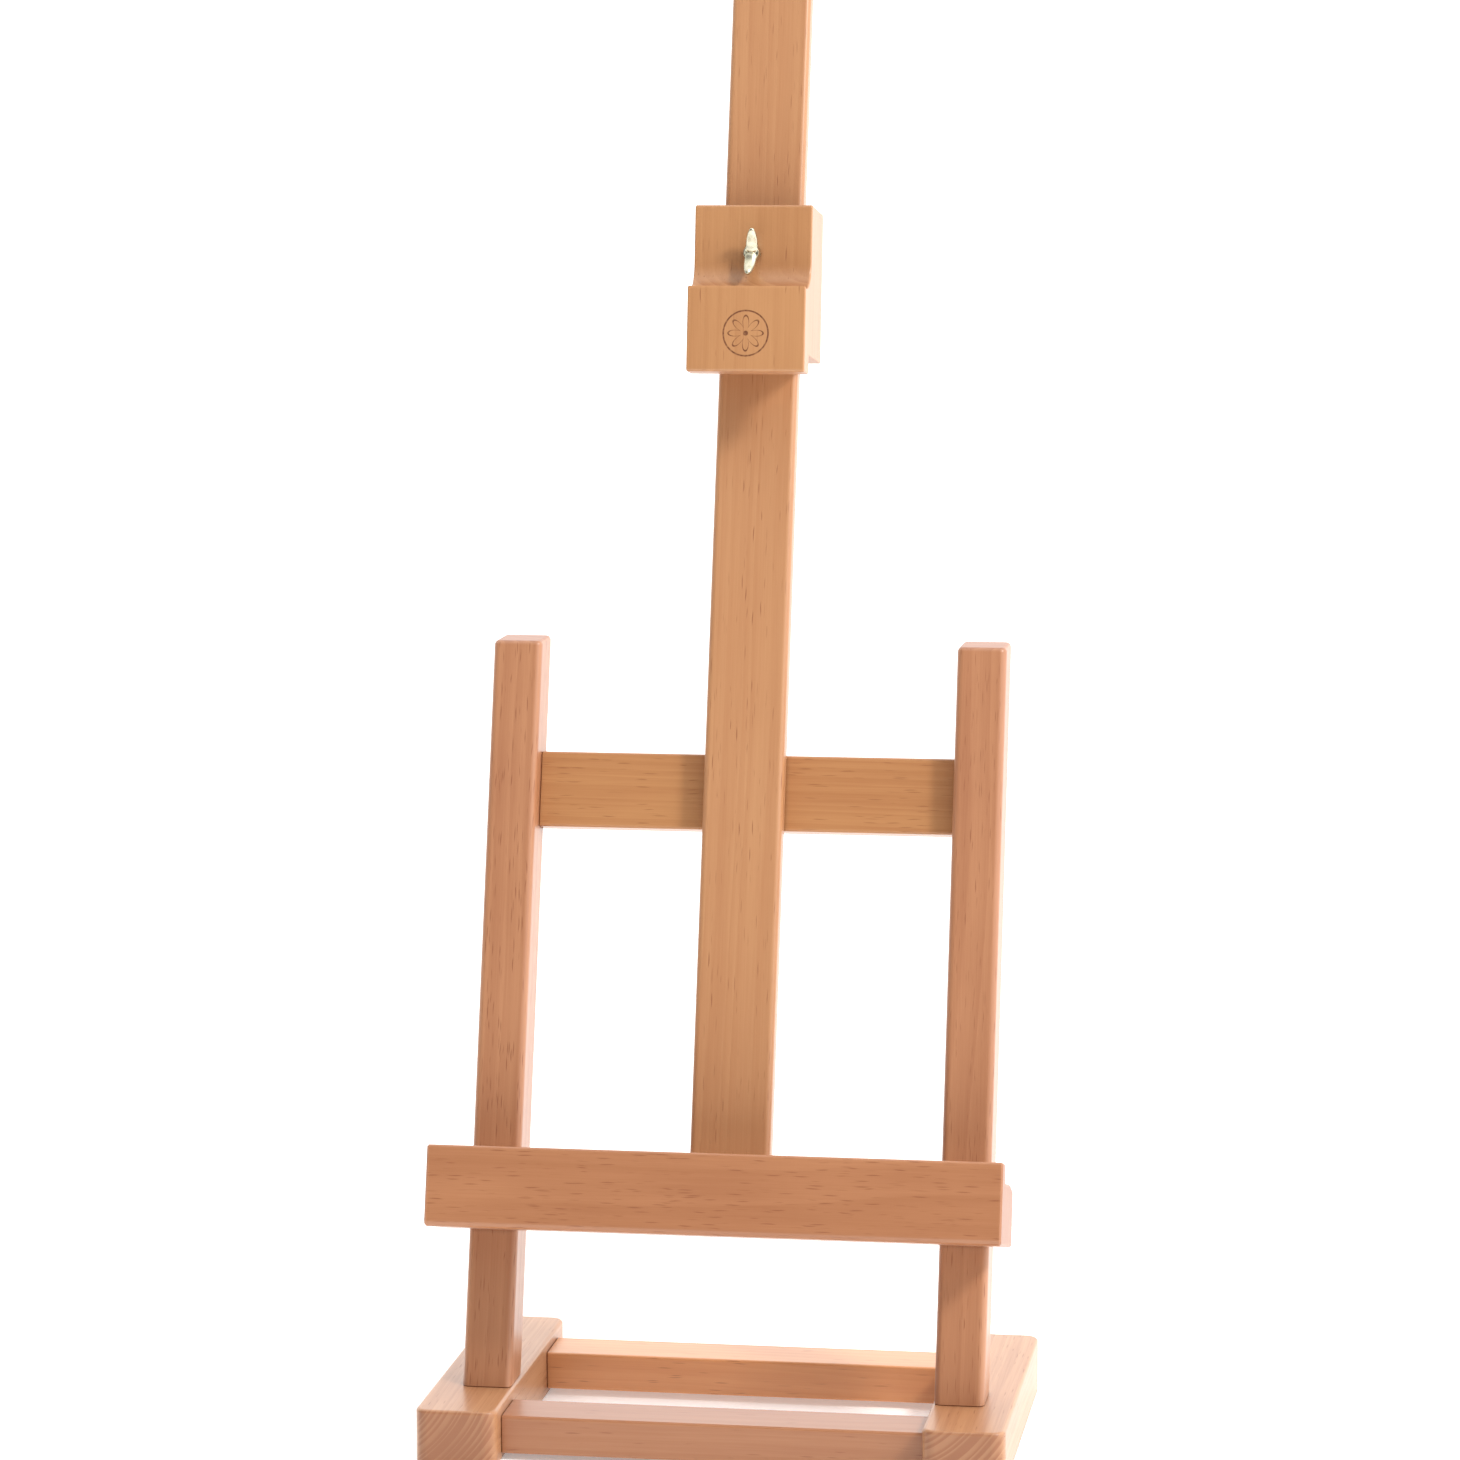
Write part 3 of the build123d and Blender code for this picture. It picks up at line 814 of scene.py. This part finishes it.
def thread(
    root: float, crest: float, pitch: float, start: float, length: float
) -> bpy.types.Object:
    """Wind a ridge of thread about Z.

    Args:
        root, crest: the radii of the thread's foot and of its edge.
        pitch: the rise of one turn.
        start: where the ridge begins along Z.
        length: how far along Z it runs.

    Returns:
        The thread as a closed mesh.
    """
    deep = crest - root
    ridge = fresh(
        "ridge",
        bpy.ops.mesh.primitive_circle_add,
        vertices=4,
        radius=deep,
        fill_type="NOTHING",
        location=(root, 0.0, start),
        rotation=(pi / 2, 0.0, 0.0),
    )
    edit_all(ridge)
    squeeze = 0.45 * pitch / deep
    bpy.ops.transform.resize(value=(1.0, 1.0, squeeze), center_override=(root, 0.0, start))
    leave_edit()
    finish_modifier(
        ridge,
        "SCREW",
        axis="Z",
        angle=2 * pi,
        screw_offset=pitch,
        iterations=max(1, round(length / pitch)),
        steps=20,
        render_steps=20,
        use_merge_vertices=False,
    )
    edit_all(ridge)
    bpy.ops.mesh.fill_holes(sides=0)
    leave_edit()
    face_outwards(ridge)
    return ridge


# ------------------------------------------------------------------ wooden sub-assemblies
class WoodenAssembly:
    """A sub-assembly of wooden CAD nodes."""

    @staticmethod
    def dress_node(node: str, grain: Grain, light: Colour, dark: Colour, **cut: object) -> None:
        """Dress one node with a finish cut for it.

        Args:
            node: the CAD node.
            grain: the way its grain runs.
            light, dark: the colours of its early and its late wood.
            cut: what else sets this piece of timber apart.
        """
        finish = BeechFinish(f"beech_{node}", grain, light, dark, **cut)
        dress(frame["nodes"][node], finish.material(node))
        LOG.info("dressed %s", node)


@dataclass
class Base(WoodenAssembly):
    """The two runners and the two bars between them."""

    light: Colour = srgb(188, 140, 100)
    dark: Colour = srgb(148, 95, 62)
    front_light: Colour = srgb(170, 116, 78)
    front_dark: Colour = srgb(150, 91, 55)
    # The rear bar's colours are paler than the rest as painted light, lifting its shaded front
    rear_light: Colour = srgb(213, 153, 103)
    rear_dark: Colour = srgb(192, 125, 78)
    ring_contrast: float = 0.30

    def build(self) -> None:
        """Dress the runners and the bars."""
        for node, pith, pitch, seed in (
            ("left_runner", (-46.0, -34.0), 2.6, 1.0),
            ("right_runner", (-40.0, -52.0), 2.9, 2.0),
        ):
            self.dress_node(
                node, Grain.RUNNER, self.light, self.dark, pith_mm=pith, ring_pitch_mm=pitch,
                ring_contrast=self.ring_contrast, flecks=0.15, seed=seed,
            )
        for node, light, dark, pith, flecks, seed in (
            ("front_base_bar", self.front_light, self.front_dark, (60.0, 22.0), 0.18, 3.0),
            ("rear_base_bar", self.rear_light, self.rear_dark, (-52.0, 30.0), 0.12, 4.0),
        ):
            self.dress_node(
                node, Grain.BASE_BAR, light, dark, pith_mm=pith,
                ring_contrast=self.ring_contrast, flecks=flecks, seed=seed,
            )


@dataclass
class LeaningFrame(WoodenAssembly):
    """The uprights, the crossbar behind the mast, and the mast."""

    upright_light: Colour = srgb(181, 128, 92)
    upright_dark: Colour = srgb(154, 99, 67)
    mast_light: Colour = srgb(184, 134, 93)
    mast_dark: Colour = srgb(163, 108, 70)
    bar_light: Colour = srgb(182, 130, 83)
    bar_dark: Colour = srgb(157, 100, 59)

    def build(self) -> None:
        """Dress the four pieces."""
        for node, pith, seed in (
            ("left_upright", (44.0, 64.0), 5.0),
            ("right_upright", (-30.0, 58.0), 6.0),
        ):
            self.dress_node(
                node, Grain.LEANING, self.upright_light, self.upright_dark,
                pith_mm=pith, ring_pitch_mm=3.4, flecks=0.42, seed=seed,
            )
        self.dress_node(
            "mast", Grain.LEANING, self.mast_light, self.mast_dark,
            pith_mm=(30.0, 46.0), ring_pitch_mm=3.0, ring_contrast=0.34, flecks=0.22, seed=7.0,
        )
        self.dress_node(
            "upper_crossbar", Grain.LEANING_ACROSS, self.bar_light, self.bar_dark,
            pith_mm=(50.0, 40.0), flecks=0.30, seed=8.0,
        )


@dataclass
class Ledge(WoodenAssembly):
    """The canvas rest with its lip."""

    light: Colour = srgb(172, 117, 80)
    dark: Colour = srgb(146, 90, 56)

    def build(self) -> None:
        """Dress the ledge."""
        self.dress_node(
            "ledge", Grain.LEANING_ACROSS, self.light, self.dark,
            pith_mm=(20.0, 70.0), ring_pitch_mm=4.2, ring_contrast=0.35, flecks=0.55, seed=9.0,
        )


@dataclass
class TopHolder(WoodenAssembly):
    """The nosed block that slides on the mast, and the plate that closes its groove."""

    light: Colour = srgb(182, 132, 88)
    dark: Colour = srgb(157, 104, 63)

    def build(self) -> None:
        """Dress the block and the plate."""
        self.dress_node(
            "holder_block", Grain.HOLDER, self.light, self.dark, pith_mm=(38.0, 60.0),
            ring_pitch_mm=3.6, ring_contrast=0.3, flecks=0.12, seed=10.0, burnt_mark=True,
        )
        self.dress_node(
            "holder_plate", Grain.HOLDER_ACROSS, self.light, self.dark,
            pith_mm=(40.0, 30.0), flecks=0.2, seed=11.0,
        )


@dataclass
class Dowels(WoodenAssembly):
    """The plain beech pegs inside the joints."""

    light: Colour = srgb(222, 176, 130)
    dark: Colour = srgb(196, 140, 96)

    def build(self) -> None:
        """Dress the three groups of dowels."""
        for node, grain, seed in (
            ("base_dowels", Grain.BASE_BAR, 12.0),
            ("crossbar_dowels", Grain.LEANING_ACROSS, 13.0),
            ("foot_dowels", Grain.LEANING, 14.0),
        ):
            self.dress_node(node, grain, self.light, self.dark, flecks=0.3, seed=seed)


# ------------------------------------------------------------------ fasteners
@dataclass
class WoodScrews:
    """One group of countersunk, cross-recessed wood screws."""

    node: str
    axis: Vector
    body: str
    finish: bpy.types.Material
    # The thread's share of the length, and sizes as multiples of the shank's radius
    thread_share: float = 0.62
    pitch_share: float = 1.05
    root_share: float = 0.9
    rim_share: float = 0.3
    point_share: float = 2.0
    # Turn from one screw's cross to the next one's, in radians
    drift: float = 0.7

    def build(self) -> None:
        """Model one screw, copy it to each seat and join the group."""
        turn = self.axis.to_track_quat("Z", "Y").to_matrix()
        boxes = [
            corners([turn.transposed() @ point for point in points])
            for points in solids(self.node)
        ]
        low, high = boxes[0]
        length = high.z - low.z
        head = (high.x - low.x) / 2
        master = self._screw(length, head)
        copies = []
        for number, (near, far) in enumerate(boxes):
            seat = turn @ Vector(((near.x + far.x) / 2, (near.y + far.y) / 2, near.z))
            each = copy_of(master, f"{self.node}_{number}")
            settle(each, axis_place(seat, self.axis, spin=self.drift * number))
            copies.append(each)
        bpy.data.objects.remove(master)
        group = join(copies, f"{self.node}_detailed")
        smooth(group, 35.0)
        dress(group, self.finish)
        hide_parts(self.node)
        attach(group, self.body)
        LOG.info("built %s: %d screws", self.node, len(boxes))

    def _screw(self, length: float, head: float) -> bpy.types.Object:
        """Model one screw with its head's face at the origin and its shank along Z.

        Args:
            length: from the head's face to the tip.
            head: the head's radius.

        Returns:
            The screw.
        """
        shank = head / 2
        rim = self.rim_share * shank
        cone = head - shank
        point = self.point_share * shank
        body = fresh(
            "screw",
            bpy.ops.mesh.primitive_cylinder_add,
            vertices=32,
            radius=head,
            depth=rim,
            location=(0.0, 0.0, rim / 2),
        )
        pick_faces(body, lambda face: face.normal.z > 0.9)
        for reach, shrink in (
            (cone, shank / head),
            (length - rim - cone - point, 1.0),
            (point, 0.08),
        ):
            bpy.ops.mesh.extrude_region_move(TRANSFORM_OT_translate={"value": (0.0, 0.0, reach)})
            bpy.ops.transform.resize(value=(shrink, shrink, 1.0))
        leave_edit()
        cutter = self._recess(head, shank)
        finish_modifier(body, "BOOLEAN", operation="DIFFERENCE", solver="EXACT", object=cutter)
        bpy.data.objects.remove(cutter)
        run = self.thread_share * length
        start = length - run - 1.6 * shank
        ridge = thread(self.root_share * shank, shank, self.pitch_share * shank, start, run)
        return join([body, ridge], "screw")

    @staticmethod
    def _recess(head: float, shank: float) -> bpy.types.Object:
        """Model the tapered cross that is sunk in a screw's head.

        Args:
            head: the head's radius.
            shank: the shank's radius.

        Returns:
            The cutter, standing a little out of the head's face.
        """
        arms = []
        for spin in (0.0, pi / 2):
            arm = fresh("recess", bpy.ops.mesh.primitive_cube_add, size=1.0)
            pick_faces(arm, lambda face: face.normal.z > 0.9)
            bpy.ops.transform.resize(value=(0.55, 0.6, 1.0))
            leave_edit()
            settle(
                arm,
                Matrix.Translation((0.0, 0.0, 0.35 * shank))
                @ Matrix.Rotation(spin, 4, "Z")
                @ Matrix.Diagonal((1.2 * head, 0.27 * head, 1.2 * shank, 1.0)),
            )
            arms.append(arm)
        first, second = arms
        finish_modifier(first, "BOOLEAN", operation="UNION", solver="EXACT", object=second)
        bpy.data.objects.remove(second)
        first.name = "recess"
        return first


@dataclass
class Clamp:
    """The wing screw, its insert in the block, and the pad on its tip."""

    thread_radius: float = 2.0 * MM
    pitch: float = 0.7 * MM
    hub_radius: float = 4.0 * MM
    hub_top: float = 3.4 * MM
    hub_height: float = 4.6 * MM
    ear_level: float = 5.2 * MM
    ear_thickness: float = 6.4 * MM
    dish_rim: float = 1.1 * MM
    dish_depth: float = 0.5 * MM
    insert_thread: float = 0.5 * MM
    clearance: float = 0.05 * MM
    nickel: MetalFinish = MetalFinish(
        "nickel_plate", (0.64, 0.60, 0.46), (0.27, 0.27, 0.17), 0.26, relief_mm=0.006
    )
    brass: MetalFinish = MetalFinish("turned_brass", (0.72, 0.50, 0.20), (0.32, 0.20, 0.08), 0.28)
    nylon: NylonFinish = NylonFinish("natural_nylon", (0.78, 0.76, 0.68), (0.45, 0.33, 0.20))
    # Each stretch of an ear: the step outwards and up in mm, and its growth across X, Y and Z
    ear_steps: tuple = (
        ((2.8, 2.1), (1.0, 0.94, 1.0)),
        ((3.1, 2.3), (1.0, 0.66, 0.94)),
        ((1.8, 0.8), (1.0, 0.42, 0.62)),
    )
    origin: Vector = field(init=False)
    axis: Vector = field(init=False)

    def __post_init__(self) -> None:
        """Find the wing screw's hinge in the frame."""
        hinge = next(joint for joint in frame["joints"] if joint["name"] == "wing_turn")
        self.origin = Vector(hinge["pos_m"])
        self.axis = Vector(hinge["axis"]).normalized()

    def build(self) -> None:
        """Build the wing screw and the insert, and dress the pad."""
        self._wing_screw()
        self._insert()
        dress(frame["nodes"]["pressure_pad"], self.nylon.material())
        LOG.info("dressed pressure_pad")

    def _axis_span(self, node: str) -> tuple[float, float]:
        """Return how far a node reaches along the screw's axis, from the hub's foot."""
        points = frame["nodes"][node].data.vertices
        reaches = [(vertex.co - self.origin).dot(self.axis) for vertex in points]
        return min(reaches), max(reaches)

    def _ear(self, side: int) -> bpy.types.Object:
        """Model one cast ear, rising outwards from the hub.

        Args:
            side: -1 or 1.

        Returns:
            The ear.
        """
        ear = fresh(
            "ear",
            bpy.ops.mesh.primitive_cube_add,
            size=1.0,
            location=(side * 1.2 * MM, 0.0, 3.1 * MM),
            scale=(3.6 * MM, self.ear_thickness, 5.2 * MM),
        )
        pick_faces(ear, lambda face: face.normal.x * side > 0.9)
        for (out, up), grow in self.ear_steps:
            bpy.ops.mesh.extrude_region_move(
                TRANSFORM_OT_translate={"value": (side * out * MM, 0.0, up * MM)}
            )
            bpy.ops.transform.resize(value=grow)
        leave_edit()
        face_outwards(ear)
        finish_modifier(ear, "SUBSURF", levels=3, render_levels=3)
        return ear

    def _wing_screw(self) -> None:
        """Model the casting and the threaded shank, and put them in place."""
        hub = fresh(
            "hub",
            bpy.ops.mesh.primitive_cone_add,
            vertices=64,
            radius1=self.hub_radius,
            radius2=self.hub_top,
            depth=self.hub_height,
            location=(0.0, 0.0, self.hub_height / 2),
        )
        pick_faces(hub, lambda face: face.normal.z > 0.9)
        bpy.ops.mesh.inset(thickness=self.dish_rim)
        bpy.ops.transform.translate(value=(0.0, 0.0, -self.dish_depth))
        leave_edit()
        casting = join([hub, self._ear(-1), self._ear(1)], "casting")
        finish_modifier(casting, "REMESH", mode="VOXEL", voxel_size=0.16 * MM)
        finish_modifier(casting, "SMOOTH", factor=0.5, iterations=24)

        near, _ = self._axis_span("wing_screw")
        shank = fresh(
            "shank",
            bpy.ops.mesh.primitive_cylinder_add,
            vertices=48,
            radius=self.thread_radius - 0.36 * MM,
            depth=-near + 0.6 * MM,
            location=(0.0, 0.0, near / 2 + 0.3 * MM),
        )
        pick_faces(shank, lambda face: face.normal.z < -0.9)
        bpy.ops.mesh.inset(thickness=0.4 * MM)
        bpy.ops.transform.translate(value=(0.0, 0.0, -0.2 * MM))
        leave_edit()
        ridge = thread(
            self.thread_radius - 0.40 * MM,
            self.thread_radius,
            self.pitch,
            near + 0.5 * self.pitch,
            -near - 0.5 * self.pitch,
        )
        screw = join([casting, shank, ridge], "wing_screw_cast")
        settle(screw, axis_place(self.origin, self.axis, spin=self._spin()))
        smooth(screw, 50.0)
        dress(screw, self.nickel.material())
        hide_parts("wing_screw")
        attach(screw, "wing")
        LOG.info("built wing_screw_cast")

    def _spin(self) -> float:
        """Return the turn about the axis that lays the ears where the CAD ears are."""
        turn = self.axis.to_track_quat("Z", "Y").to_matrix()
        best, reach = 0.0, -1.0
        for vertex in frame["nodes"]["wing_screw"].data.vertices:
            local = turn.transposed() @ (vertex.co - self.origin)
            if local.z > self.ear_level and local.xy.length > reach:
                reach = local.xy.length
                best = local.xy.angle_signed(Vector((1.0, 0.0)))
        return best

    def _insert(self) -> None:
        """Model the brass insert with its outer thread."""
        near, far = self._axis_span("threaded_insert")
        turn = self.axis.to_track_quat("Z", "Y").to_matrix().transposed()
        low, high = turned_box("threaded_insert", turn)
        outer = (high.x - low.x) / 2
        sleeve = fresh(
            "sleeve",
            bpy.ops.mesh.primitive_cylinder_add,
            vertices=48,
            radius=outer - self.insert_thread,
            depth=far - near,
            end_fill_type="NOTHING",
            location=(0.0, 0.0, (near + far) / 2),
        )
        wall = outer - self.insert_thread - self.thread_radius - self.clearance
        finish_modifier(sleeve, "SOLIDIFY", thickness=wall, offset=-1.0)
        finish_modifier(sleeve, "BEVEL", width=0.15 * MM, segments=2, limit_method="ANGLE")
        root = outer - self.insert_thread - self.clearance
        ridge = thread(root, outer, 1.6 * MM, near + 0.9 * MM, far - near - 2.2 * MM)
        insert = join([sleeve, ridge], "threaded_insert_turned")
        settle(insert, axis_place(self.origin, self.axis))
        smooth(insert, 40.0)
        dress(insert, self.brass.material())
        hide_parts("threaded_insert")
        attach(insert, "holder")
        LOG.info("built threaded_insert_turned")


@dataclass
class Fasteners:
    """All the wood screws."""

    zinc: MetalFinish = MetalFinish("zinc_plate", (0.60, 0.60, 0.58), (0.30, 0.29, 0.25), 0.34)

    def build(self) -> None:
        """Build each group on its own axis."""
        finish = self.zinc.material()
        lean, tilt = radians(LEAN), radians(HOLDER_LEAN)
        up = Vector((0.0, sin(lean), cos(lean)))
        through = Vector((0.0, -cos(lean), sin(lean)))
        outward = Vector((0.0, -cos(tilt), sin(tilt)))
        for node, axis, body in (
            ("foot_screws", up, "frame"),
            ("ledge_screws", through, "frame"),
            ("mast_screws", through, "frame"),
            ("plate_screws", outward, "holder"),
        ):
            WoodScrews(node, axis, body, finish).build()


# ------------------------------------------------------------------ studio
@dataclass
class Studio:
    """Pale floor, white surroundings, one large soft key light and the camera."""

    target: Vector = field(default_factory=lambda: Vector((-0.00427, -0.00993, 0.31194)))
    distance: float = 2.0909
    yaw: float = 9.026
    pitch: float = 8.073
    roll: float = -0.236
    lens: float = 116.34
    key_direction: Vector = field(default_factory=lambda: Vector((0.70, -0.40, 0.68)))
    key_distance: float = 2.4
    key_size: float = 0.36
    key_power: float = 36.0
    # The surroundings' strength, brightest the bright way and dimmest opposite it
    bright_way: tuple[float, float, float] = (0.42, 0.82, 0.38)
    bright_side: float = 1.75
    dim_side: float = 0.06
    floor_glow: float = 0.28

    def build(self) -> None:
        """Build the floor, the lights, the surroundings and the camera."""
        self._floor()
        self._surroundings()
        self._key()
        self._camera()

    def _floor(self) -> None:
        """Lay a wide pale floor."""
        floor = fresh(
            "floor", bpy.ops.mesh.primitive_circle_add, vertices=96, radius=9.0, fill_type="NGON"
        )
        made, wire, shader = new_material("pale_floor")
        cloud = wire.noise(wire.node("TexCoord").outputs["Object"], 3.0, 2.0)
        colour = wire.mix(cloud, (0.90, 0.90, 0.90), (0.93, 0.93, 0.925))
        wire.feed(shader.inputs["Base Color"], colour)
        shader.inputs["Roughness"].default_value = 0.7
        shader.inputs["Specular IOR Level"].default_value = 0.2
        shader.inputs["Emission Color"].default_value = (1.0, 1.0, 1.0, 1.0)
        shader.inputs["Emission Strength"].default_value = self.floor_glow
        dress(floor, made)
        LOG.info("laid floor")

    def _surroundings(self) -> None:
        """Set a white world that is a little dimmer in front of the easel and to its left."""
        world = bpy.data.worlds.new("studio")
        bpy.context.scene.world = world
        world.use_nodes = True
        wire = Wiring(world.node_tree)
        shade = world.node_tree.nodes["Background"]
        way = wire.node("TexCoord").outputs["Generated"]
        lit = wire.vector("DOT_PRODUCT", way, self.bright_way, output="Value")
        level = wire.ramp(lit, -0.80, 0.30, self.dim_side, self.bright_side)
        seen = wire.node("LightPath").outputs["Is Camera Ray"]
        wire.feed(shade.inputs["Strength"], wire.math("MAXIMUM", level, seen))
        shade.inputs["Color"].default_value = (1.0, 1.0, 1.0, 1.0)

    def _key(self) -> None:
        """Hang the large soft key light."""
        lamp = bpy.data.lights.new("key", "AREA")
        lamp.shape = "SQUARE"
        lamp.size = self.key_size
        lamp.energy = self.key_power
        lamp.color = (1.0, 0.98, 0.95)
        holder = bpy.data.objects.new("key", lamp)
        bpy.context.scene.collection.objects.link(holder)
        way = self.key_direction.normalized()
        holder.location = self.target + way * self.key_distance
        holder.rotation_euler = way.to_track_quat("Z", "Y").to_euler()

    def _camera(self) -> None:
        """Set up the camera."""
        view = bpy.data.cameras.new("camera")
        view.lens = self.lens
        view.sensor_width = 36.0
        view.clip_end = 50.0
        holder = bpy.data.objects.new("camera", view)
        bpy.context.scene.collection.objects.link(holder)
        turn = (
            Matrix.Rotation(radians(self.yaw), 4, "Z")
            @ Matrix.Rotation(radians(90.0 - self.pitch), 4, "X")
            @ Matrix.Rotation(radians(self.roll), 4, "Z")
        )
        back = turn.to_3x3() @ Vector((0.0, 0.0, 1.0))
        holder.matrix_world = Matrix.Translation(self.target + back * self.distance) @ turn
        bpy.context.scene.camera = holder
        bpy.context.scene.view_settings.view_transform = "Standard"


def main() -> None:
    """Build every sub-assembly in order."""
    logging.basicConfig(level=logging.INFO, format="%(name)s: %(message)s")
    order = (Studio, Base, LeaningFrame, Ledge, TopHolder, Dowels, Fasteners, Clamp)
    for part in (kind() for kind in order):
        part.build()
        LOG.info("finished %s", type(part).__name__)


if __name__ == "__main__":
    main()
